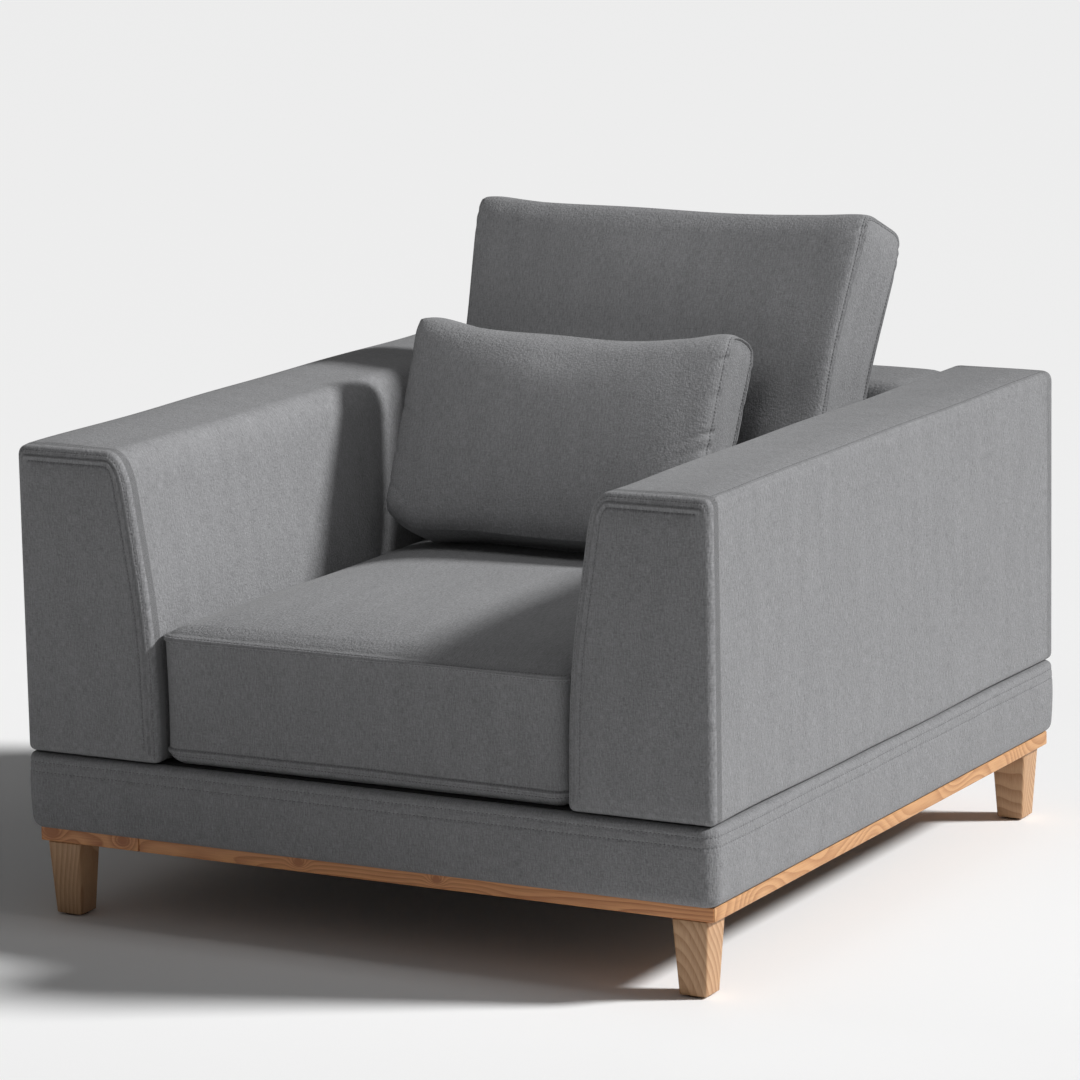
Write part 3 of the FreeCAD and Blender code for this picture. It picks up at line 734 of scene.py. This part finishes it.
def make_arm(name, side):
    """Rings about the middle of the front panel, out over its edge, back along the arm and in
    again at the rear. Insets give the rings of the panels and the rounded rims."""
    rim = 0.012
    seam_in, upper_in, lower_in, flat_in, topstitch = 0.0135, 0.0055, 0.0200, 0.0235, 0.0095
    angles = np.linspace(0, math.pi / 2, 9)
    rim_in, rim_back = rim * (1 - np.cos(angles)), rim * (1 - np.sin(angles))
    band_in = np.arange(rim + 0.0012, flat_in, 0.0012)
    shrink = np.linspace(1, 0, 15)[1:-1] ** 0.8
    inset = np.concatenate([np.full(len(shrink), flat_in), band_in[::-1], rim_in[::-1]])
    drawn = np.concatenate([shrink, np.zeros(len(band_in) + len(rim_in))])
    setback = np.concatenate([np.zeros(len(shrink) + len(band_in)), rim_back[::-1]])
    half = (ARM_HIGH[1] - ARM_LOW[1]) / 2 - 0.0012
    body_y = np.linspace(-half + rim, half - rim, 80)[1:-1]
    loops = [outline(ARM_SHAPE, value, ARM_STEP) for value in inset]
    whole = outline(ARM_SHAPE, 0.0, ARM_STEP)
    centre = np.array([0.442, 0.455])
    cap = np.array([loop + (centre - loop) * share for loop, share in zip(loops, drawn)])
    rings, count = len(cap), len(whole)
    plane = np.concatenate([cap, np.tile(whole, (len(body_y), 1, 1)), cap[::-1]])
    depth = np.concatenate([-half + setback, body_y, half - setback[::-1]])
    points = np.empty((len(plane), count, 3))
    points[..., 0], points[..., 2] = plane[..., 0], plane[..., 1]
    points[..., 1] = depth[:, None]

    run = running_length(whole)
    into = np.concatenate([inset, np.zeros(len(body_y)), inset[::-1]])
    x, y, z = points[..., 0], points[..., 1], points[..., 2]
    crown = 0.0042 * np.sin(math.pi * smooth(x, 0.372, 0.520) * 0.5) * smooth(ARM_HIGH[0] - x, 0.0, 0.05)
    crown *= smooth(z, ARM_HIGH[2] - 0.012, ARM_HIGH[2] - 0.002) * smooth(half - np.abs(y), 0.0, 0.05)
    belly = np.sin(math.pi * smooth(z, ARM_LOW[2], ARM_HIGH[2])) * smooth(half - np.abs(y), 0.0, 0.10)
    waves = 0.0007 * np.sin(7.3 * y + 2.1 * z + side) + 0.0005 * np.sin(17.0 * y - 11.0 * z + 2 * side)
    waves *= smooth(half - np.abs(y), 0.0, 0.08)
    swell = np.zeros(len(plane))
    swell[:rings] = 0.0034 * smooth(drawn, 0.0, 0.9) + 0.0012 * smooth(into[:rings], rim, flat_in)
    points[..., 2] += crown
    points[..., 0] += 0.0022 * belly * smooth(x, 0.50, 0.53) - 0.0025 * belly * (1 - smooth(x, 0.33, 0.40))
    points[..., 1] -= swell[:, None]
    points[..., 1] += swell[::-1, None]

    corner_run = run[:-1][np.argmin(np.hypot(whole[:, 0] - ARM_HIGH[0], whole[:, 1] - ARM_HIGH[2]))]
    inner_foot = run[:-1][np.argmin(np.hypot(whole[:, 0] - ARM_LOW[0], whole[:, 1] - ARM_LOW[2]))]
    sewn = smooth(run[:-1], corner_run - 0.030, corner_run - 0.004)
    sewn *= 1 - smooth(run[:-1], inner_foot - 0.004, inner_foot + 0.004)
    lap = 0.0020 * gauss(into - seam_in - 0.0008, 0.0021) - 0.0022 * gauss(into - seam_in + 0.0020, 0.0013)
    lap -= 0.0011 * gauss(into - upper_in, 0.0015) + 0.0011 * gauss(into - lower_in, 0.0015)
    lap += 0.0007 * gauss(into - 0.0090, 0.0026) + 0.0004 * gauss(into - 0.0240, 0.0030)
    lap[rings:] = 0
    fading_back = np.zeros(len(plane))
    fading_back[rings:-rings] = 1 - 0.6 * smooth(body_y, 0.0, half)
    past_corner = run[:-1] - corner_run
    edge_join = 0.0012 * gauss(past_corner - 0.003, 0.0020) - 0.0010 * gauss(past_corner + 0.0012, 0.0013)
    edge_join -= 0.0007 * gauss(past_corner - topstitch, 0.0013)
    normal = grid_normals(points)
    relief = lap[:, None] * sewn[None] + edge_join[None] * fading_back[:, None] + waves
    points += normal * relief[..., None]

    on_caps = np.ones(len(plane), bool)
    on_caps[rings:-rings] = False
    u = np.tile(depth[:, None], (1, count + 1))
    v = np.tile(run[None], (len(plane), 1))
    wrapped = np.concatenate([points, points[:, :1]], 1)
    u[on_caps] = wrapped[on_caps][..., 0]
    v[on_caps] = wrapped[on_caps][..., 2]
    cloth = ring_cloth(u, v, len(plane), count)
    all_points, faces, cloth = with_ends(points, cloth, [0, 2])
    rows = []
    on_front = sewn > 0.35
    for value in (upper_in, lower_in):
        k = int(np.argmin(np.abs(inset - value) + drawn))
        rows.append((points[k][on_front], normal[k][on_front]))
    top_line = int(np.argmin(np.abs(past_corner - topstitch)))
    rows.append((points[rings:-rings, top_line], normal[rings:-rings, top_line]))
    all_points = all_points * (side, 1, 1)
    rows = [(line * (side, 1, 1), way * (side, 1, 1)) for line, way in rows]
    if side < 0:
        faces = [face[::-1] for face in faces]
        quads = len(plane[:-1]) * count * 4
        cloth = np.concatenate([
            cloth[:quads].reshape(-1, 4, 2)[:, ::-1].reshape(-1, 2),
            cloth[quads:].reshape(-1, 3, 2)[:, ::-1].reshape(-1, 2),
        ])
    arm = make_piece("arm_" + name, all_points, faces, fabric, "chair_frame", cloth)
    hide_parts("arm_cover_" + name, "arm_foam_" + name)
    stitch_rows("arm_stitches_" + name, rows, "chair_frame")


make_arm("right", 1)
make_arm("left", -1)


# ---- back ---------------------------------------------------------------
# The padded back stands between the arms, a little lower than they are. Its
# ends are pressed into the arms' sides, which leaves a crease there.
def make_back():
    """A closed section in depth and height, carried across the chair. Its ends follow the arms'
    inner outline, a little inside it."""
    low, high = corners_of("back_cover")
    front_top, front_low, bend_z, pressed_in = 0.388, low[1], 0.430, 0.004
    shape = [
        (0.460, low[2] + 0.0006, 0.02, 0.02, 2),
        (high[1] - 0.0012, low[2] + 0.0006, 0.012, 0.012, 7),
        (high[1] - 0.0012, high[2], 0.022, 0.022, 12),
        (front_top, high[2], 0.042, 0.050, 16),
        (front_low + 0.002, bend_z, 0.06, 0.06, 10),
        (front_low + 0.002, low[2] + 0.0006, 0.012, 0.012, 5),
    ]
    section = outline(shape, 0.0, 0.011)
    inner_x, inner_z = arm_inner_line()
    reach = np.interp(section[:, 1], inner_z, inner_x) + pressed_in
    share = np.linspace(1, -1, 61)
    points = np.empty((len(share), len(section), 3))
    points[..., 0] = share[:, None] * reach
    points[..., 1:] = section
    x, z = points[..., 0], points[..., 2]
    middle = 1 - share[:, None] ** 2
    top = smooth(z, high[2] - 0.020, high[2] - 0.002)
    points[..., 2] += (0.004 * middle - 0.004 * (1 - smooth(middle, 0.0, 0.16))) * top
    bulge = smooth(points[..., 1], 0.50, 0.55) * np.sin(math.pi * smooth(z, low[2], high[2]))
    points[..., 1] += 0.003 * middle * bulge
    waves = 0.0008 * np.sin(9 * x + 5 * z) + 0.0006 * np.sin(23 * x - 8 * z)
    points += grid_normals(points) * waves[..., None]
    count = len(section)
    run = running_length(section)
    u = np.tile((share * reach.mean())[:, None], (1, count + 1))
    v = np.tile(run[None], (len(share), 1))
    cloth = ring_cloth(u, v, len(share), count)
    all_points, faces, cloth = with_ends(points, cloth, [1, 2])
    back = make_piece("back_rest", all_points, faces, fabric, "chair_frame", cloth)
    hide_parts("back_cover", "back_foam")


make_back()


# ---- seat cushion -------------------------------------------------------
# A thick loose box cushion. Its cover has a band all round, joined to the top
# and the bottom panels by seams that stand up between two rows of stitching.
def share_of(grid):
    """How far each point lies across the box of all of them, from 0 to 1 along each axis."""
    return (grid - grid.min(0)) / (grid.max(0) - grid.min(0))


def face_middle(grid):
    """One in the middle of each side of a box and nought along its edges: the root of the
    product of the sines of the shares along the two axes of that side."""
    share = share_of(grid)
    at_limit = np.minimum(share, 1 - share) < 1e-9
    wave = np.where(at_limit, 1.0, np.sin(math.pi * share))
    return np.sqrt(wave.prod(1)) * (at_limit.sum(1) == 1)


def evened(shift, quads, times):
    """A movement replaced by half of itself and half of the mean around it, over and over."""
    first, second = quads.ravel(), np.roll(quads, -1, 1).ravel()
    count = np.bincount(first, minlength=len(shift))[:, None]
    for _ in range(times):
        around = np.zeros_like(shift)
        np.add.at(around, first, shift[second])
        shift = 0.5 * shift + 0.5 * around / count
    return shift


def filled(points, quads, grid, travel, edge_travel, pressure, times):
    """The points of a closed cover after air has been let in: cloth under pressure without
    gravity, for twenty frames. No point goes further than the travel, which falls to that of
    the sewn edges towards them, and the movement is evened out over the cover."""
    mesh = bpy.data.meshes.new("filling")
    mesh.from_pydata(points.tolist(), [], quads.tolist())
    cover = bpy.data.objects.new("filling", mesh)
    scene.collection.objects.link(cover)
    cloth = cover.modifiers.new("cloth", "CLOTH")
    for key, value in (
        ("quality", 6), ("mass", 0.3), ("tension_stiffness", 25.0),
        ("compression_stiffness", 25.0), ("shear_stiffness", 8.0), ("bending_stiffness", 0.8),
        ("use_pressure", True), ("uniform_pressure_force", pressure),
    ):
        setattr(cloth.settings, key, value)
    cloth.settings.effector_weights.gravity = 0.0
    frames = 20
    cloth.point_cache.frame_start = 1
    cloth.point_cache.frame_end = frames
    for number in range(1, frames + 1):
        scene.frame_set(number)
    blown = cover.evaluated_get(bpy.context.evaluated_depsgraph_get()).to_mesh()
    moved = np.empty(len(points) * 3)
    blown.vertices.foreach_get("co", moved)
    shift = moved.reshape(-1, 3) - points
    bpy.data.objects.remove(cover)
    bpy.data.meshes.remove(mesh)
    scene.frame_set(1)
    furthest = (edge_travel + (travel - edge_travel) * face_middle(grid))[:, None]
    length = np.linalg.norm(shift, axis=1, keepdims=True)
    return points + evened(shift * np.minimum(1, furthest / np.maximum(length, 1e-9)), quads, times)


def fitted(points, low, high):
    """The points scaled so that they just fill the box between two corners."""
    return np.array(low) + share_of(points) * (np.array(high) - low)


def sewn_cover(name, points, quads, facing, grid, body, nodes_replaced, levels, relief, settle):
    """A cushion from its filled cover: subdivided, with the relief of its seams, creases and
    puckers moved along its normals, and then settled against what it touches. Every point
    carries its place on the unfilled box, which the relief is a function of."""
    flat_axes = np.array([[1, 2], [0, 2], [0, 1]])
    corners = grid[quads.ravel()]
    pair = flat_axes[np.repeat(facing, 4)]
    cloth = np.take_along_axis(corners, pair, 1)
    cushion = make_piece(name, points, quads, fabric, body, cloth)
    place = cushion.data.attributes.new("place", "FLOAT_VECTOR", "POINT")
    place.data.foreach_set("vector", np.ravel(grid))
    divided = cushion.modifiers.new("subdivision", "SUBSURF")
    divided.levels = divided.render_levels = levels
    bpy.context.view_layer.update()
    final = bpy.data.meshes.new_from_object(cushion.evaluated_get(bpy.context.evaluated_depsgraph_get()))
    cushion.modifiers.clear()
    cushion.data = final
    count = len(final.vertices)
    where, spot, normal = (np.empty(count * 3) for _ in range(3))
    final.vertices.foreach_get("co", where)
    final.vertices.foreach_get("normal", normal)
    final.attributes["place"].data.foreach_get("vector", spot)
    where, spot, normal = (table.reshape(-1, 3) for table in (where, spot, normal))
    where = settle(where + normal * relief(spot)[:, None], spot)
    final.vertices.foreach_set("co", where.ravel())
    final.attributes.remove(final.attributes["place"])
    final.update()
    final.polygons.foreach_set("use_smooth", np.ones(len(final.polygons), bool))
    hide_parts(*nodes_replaced)
    return where, normal, spot


def loop_of(chosen, angle, where, normal):
    """The chosen points in the order of an angle, closed, with their normals."""
    number = np.flatnonzero(chosen)
    number = number[np.argsort(angle[number])]
    number = np.append(number, number[0])
    return where[number], normal[number]


SEAM_LINES = np.array([-0.0095, -0.0042, 0.0, 0.0042, 0.0095])


def seam_relief(distance):
    """A raised seam: a low ridge with a fine line along its top, between two stitched lines."""
    ridge = 0.0036 * gauss(distance, 0.0040) - 0.0018 * gauss(distance, 0.0010)
    return ridge - 0.0009 * (gauss(distance - 0.0052, 0.0012) + gauss(distance + 0.0052, 0.0012))


def make_seat_cushion():
    """A rounded box, filled and fitted, whose top rises inwards from its seam; then seams, soft
    unevenness, and the arms, the deck and the other cushions as limits."""
    low, high = corners_of("seat_cushion_cover")
    start_low = low + (0.004, 0.006, 0.001)
    start_high = high - (0.004, 0.004, 0.014)
    upper_seam, lower_seam = 0.412, 0.257
    free_top, pressed_top = 0.4545, 0.4462
    corner, step = 0.032, 0.0255
    xs, ys = (stations(start_low[i], start_high[i], corner, step, 5) for i in (0, 1))
    zs = np.concatenate([
        start_low[2] + 0.020 * (1 - np.tan(np.linspace(math.pi / 4, 0.2, 4))),
        lower_seam + SEAM_LINES, np.linspace(lower_seam, upper_seam, 9)[1:-1],
        upper_seam + SEAM_LINES, [start_high[2] - 0.006, start_high[2]],
    ])
    zs = np.unique(np.round(zs, 5))
    grid, quads, facing = box_grid(xs, ys, zs)
    points = rounded(grid, (corner, corner, 0.022))
    crowned = smooth(points[:, 2], 0.33, start_high[2])
    share = share_of(grid)
    wave = np.sin(math.pi * share)
    points[:, 2] += 0.010 * crowned * (wave[:, 0] * wave[:, 1]) ** 0.5
    points = filled(points, quads, grid, 0.014, 0.003, 3.0, 10)
    points = fitted(points, (-0.3142, -0.5475, low[2] - 0.0170), (0.3142, high[1], 0.4560))
    inwards = np.minimum(grid[:, 0] - grid[:, 0].min(), grid[:, 0].max() - grid[:, 0])
    inwards = np.minimum(inwards, grid[:, 1] - grid[:, 1].min())
    points[:, 2] -= 0.72 * np.maximum(points[:, 2] - upper_seam, 0) * np.exp(-inwards / 0.045)
    inner_x, inner_z = arm_inner_line()

    def relief(spot):
        """Both seams on the band, and soft waves on its upper part and the top."""
        on_band = spot[:, 2] < start_high[2] - 1e-5
        lines = seam_relief(spot[:, 2] - upper_seam) + seam_relief(spot[:, 2] - lower_seam)
        x, y, z = spot.T
        soft = 0.0011 * np.sin(13 * x + 4 * y) + 0.0009 * np.sin(9 * y - 21 * x)
        return lines * on_band + soft * smooth(z, 0.30, 0.42)

    def settle(where, spot):
        """Between the arms, in front of the back, on the deck and under the other cushions."""
        limit = np.interp(where[:, 2], inner_z, inner_x) - 0.0008
        where[:, 0] = np.clip(where[:, 0], -limit, limit)
        where[:, 1] = np.minimum(where[:, 1], high[1])
        under_cushions = smooth(where[:, 1], -0.10, 0.02)
        ceiling = free_top * (1 - under_cushions) + pressed_top * under_cushions
        ease = 400
        where[:, 2] = ceiling - np.logaddexp(0, (ceiling - where[:, 2]) * ease) / ease
        where[:, 2] = np.maximum(where[:, 2], low[2] + 0.0004)
        return where

    where, normal, spot = sewn_cover(
        "seat_cushion_visible", points, quads, facing, grid, "seat_cushion",
        ("seat_cushion_cover", "seat_cushion_filling"), 2, relief, settle,
    )
    middle = (grid.min(0) + grid.max(0)) / 2
    span = (grid.max(0) - grid.min(0)) / 2
    turn = np.arctan2((spot[:, 1] - middle[1]) / span[1], (spot[:, 0] - middle[0]) / span[0])
    rows = [
        loop_of(np.abs(spot[:, 2] - seam - away) < 2e-5, turn, where, normal)
        for seam in (upper_seam, lower_seam) for away in SEAM_LINES[[1, 3]]
    ]
    stitch_rows("seat_cushion_stitches", rows, "seat_cushion")


make_seat_cushion()


# ---- back cushion and pillow --------------------------------------------
# Two loose cushions lean one on the other. One panel wraps the front, the top
# and the rear of each; flat gussets close the ends, with a double stitched
# seam that draws the cloth into short puckers.
SEAT_REST = 0.4468


def make_leaning_cushion(
    name, sizes, place, lean, start, edge, travel, pressure, step, shaped, relief_of, settle,
):
    """sizes are the half width, thickness and length; place is the foot of the middle of the
    front face, and lean its angle from upright. start is where the length begins, and edge
    the radius round the front, top and rear."""
    half, thick, length = sizes
    up = np.array([0, math.sin(lean), math.cos(lean)])
    back = np.array([0, math.cos(lean), -math.sin(lean)])
    seam_allowance, end_edge = 0.0065, 0.026
    near = np.array([0.0, 0.0028, seam_allowance, 0.0105, 0.0160])

    def along_side(low, high, count):
        """Close steps beside both edges, and even ones between them."""
        even = np.linspace(low + near[-1], high - near[-1], count)[1:-1]
        return np.concatenate([low + near, even, high - near[::-1]])

    grid, quads, facing = box_grid(
        along_side(-half, half, int(2 * half / step)), along_side(0.0, thick, max(int(thick / step), 3)),
        along_side(start, length, int((length - start) / step)),
    )
    points = rounded(grid, (end_edge, min(edge, thick * 0.45), edge))
    points = filled(points, quads, grid, *travel, pressure, 16)

    points[:, 0] *= half / points[:, 0].max()
    points[:, 2] += length - points[:, 2].max()
    points = shaped(points, np.abs(grid[:, 0]) / half, grid[:, 2])

    def to_world(table):
        """From half width, depth and length to the chair's own axes."""
        return np.array(place) + table[:, :1] * (1, 0, 0) + table[:, 1:2] * back + table[:, 2:] * up

    gaps = (half, thick / 2, (length - start) / 2)
    middle = np.array([0, thick / 2, (length + start) / 2])

    def rim(spot):
        """How far a place lies from the seam round its end, and from that end."""
        ends = np.abs(spot - middle)
        gap_x, gap_s, gap_t = (gaps[i] - ends[:, i] for i in range(3))
        return np.maximum(gap_x, np.minimum(gap_s, gap_t)), gap_x

    def relief(spot):
        """A welt along the seam with a groove beside it, and the cushion's own relief."""
        distance, gap_x = rim(spot)
        welt = 0.0012 * gauss(distance, 0.0022) - 0.0008 * gauss(distance - 0.0075, 0.0016)
        return welt + relief_of(spot, distance, gap_x < 1e-5)

    where, normal, spot = sewn_cover(
        name + "_visible", to_world(points), quads, facing, grid, name,
        (name + "_cover", name + "_filling"), 2, relief, settle,
    )
    distance, gap_x = rim(spot)
    turn = np.arctan2((spot[:, 2] - middle[2]) / gaps[2], (spot[:, 1] - middle[1]) / gaps[1])
    rows = []
    for side in (-1, 1):
        on_side = spot[:, 0] * side > 0
        for on_end in (False, True):
            chosen = on_side & (np.abs(distance - seam_allowance) < 2e-5) & ((gap_x < 1e-5) == on_end)
            rows.append(loop_of(chosen, turn, where, normal))
    stitch_rows(name + "_stitches", rows, name)


def puckers(spot, distance, on_end, places, side, depth, reach):
    """Short grooves across the end seam, deepest at the seam and gone after their reach."""
    total = np.zeros(len(spot))
    slant = 0.55
    for height, width, strength in places:
        total -= depth * strength * gauss(spot[:, 2] - height + slant * distance, width)
    fade = np.where(on_end, 0.5 * np.exp(-distance / (reach * 0.4)), np.exp(-distance / reach))
    return total * fade * (spot[:, 0] * side > 0)


def back_cushion_relief(spot, distance, on_end):
    """Soft waves away from the seams, and puckers near the upper ends of the seams."""
    x, s, t = spot.T
    soft = 0.0016 * np.sin(8 * x + 5 * t) + 0.0011 * np.sin(19 * x - 9 * t + 1)
    soft += 0.0007 * np.sin(37 * t + 11 * x)
    soft *= smooth(distance, 0.0, 0.06)
    right = puckers(
        spot, distance, on_end,
        [(0.488, 0.006, 1), (0.470, 0.005, 0.8), (0.448, 0.006, 0.5)], 1, 0.0034, 0.026,
    )
    left = puckers(
        spot, distance, on_end, [(0.480, 0.006, 0.8), (0.455, 0.006, 0.5)], -1, 0.0030, 0.024,
    )
    return soft + right + left


def pillow_relief(spot, distance, on_end):
    """Soft waves away from the seams, and puckers all along the seams of both ends."""
    x, s, t = spot.T
    soft = 0.0014 * np.sin(14 * x + 9 * t) + 0.0010 * np.sin(31 * x - 17 * t + 2)
    soft *= smooth(distance, 0.0, 0.05)
    right = puckers(
        spot, distance, on_end,
        [(0.088, 0.006, 0.5), (0.128, 0.005, 0.7), (0.151, 0.004, 1.0), (0.186, 0.006, 0.9),
         (0.209, 0.004, 1.1), (0.262, 0.007, 0.5), (0.318, 0.005, 0.9)], 1, 0.0030, 0.026,
    )
    left = puckers(
        spot, distance, on_end,
        [(0.090, 0.006, 0.7), (0.150, 0.006, 0.8), (0.215, 0.006, 0.9), (0.290, 0.007, 0.8)],
        -1, 0.0032, 0.030,
    )
    return soft + right + left


def shape_back_cushion(points, out, height):
    """Broader at its top, which dips a little in the middle, than lower down."""
    points[:, 0] *= 0.962 + 0.038 * smooth(height, 0.25, 0.50)
    points[:, 2] -= 0.006 * smooth(height, 0.30, 0.50) * (1 - out ** 2)
    return points


def shape_pillow(points, out, height):
    """Its lower corners are drawn up and its upper ones stand, with a sagging edge between."""
    points[:, 2] += 0.026 * smooth(out, 0.70, 1.0) * (1 - smooth(height, 0.0, 0.14))
    points[:, 2] -= 0.010 * smooth(height, 0.22, 0.37) * (1 - out ** 4)
    points[:, 0] *= 1 - 0.022 * (1 - smooth(height, 0.0, 0.20))
    return points


def settle_back_cushion(where, spot):
    """Stands on the seat, stays in front of the back and between the arms."""
    where[:, 2] = np.maximum(where[:, 2], SEAT_REST + 0.0004)
    face = np.interp(where[:, 2], [0.43, 0.60, 0.656], [0.3355, 0.374, 0.395])
    behind = (where[:, 2] < 0.652) & (where[:, 1] > face - 0.0006)
    where[:, 1] = np.where(behind, face - 0.0006, where[:, 1])
    inner_x = np.interp(where[:, 2], [0.42, 0.60, 0.665], [0.317, 0.346, 0.375])
    where[:, 0] = np.clip(where[:, 0], -inner_x, inner_x)
    return where


def settle_pillow(where, spot):
    """Stands on the seat."""
    where[:, 2] = np.maximum(where[:, 2], SEAT_REST + 0.0004)
    return where


make_leaning_cushion(
    "back_cushion", (0.3215, 0.148, 0.514), (0.0170, 0.1385, 0.447), math.radians(22.4), -0.03, 0.042,
    (0.020, 0.003), 3.0, 0.020, shape_back_cushion, back_cushion_relief, settle_back_cushion,
)
make_leaning_cushion(
    "lumbar_pillow", (0.2550, 0.100, 0.366), (-0.0170, -0.0555, 0.447), math.radians(24.5), 0.012, 0.045,
    (0.028, 0.005), 4.0, 0.0135, shape_pillow, pillow_relief, settle_pillow,
)
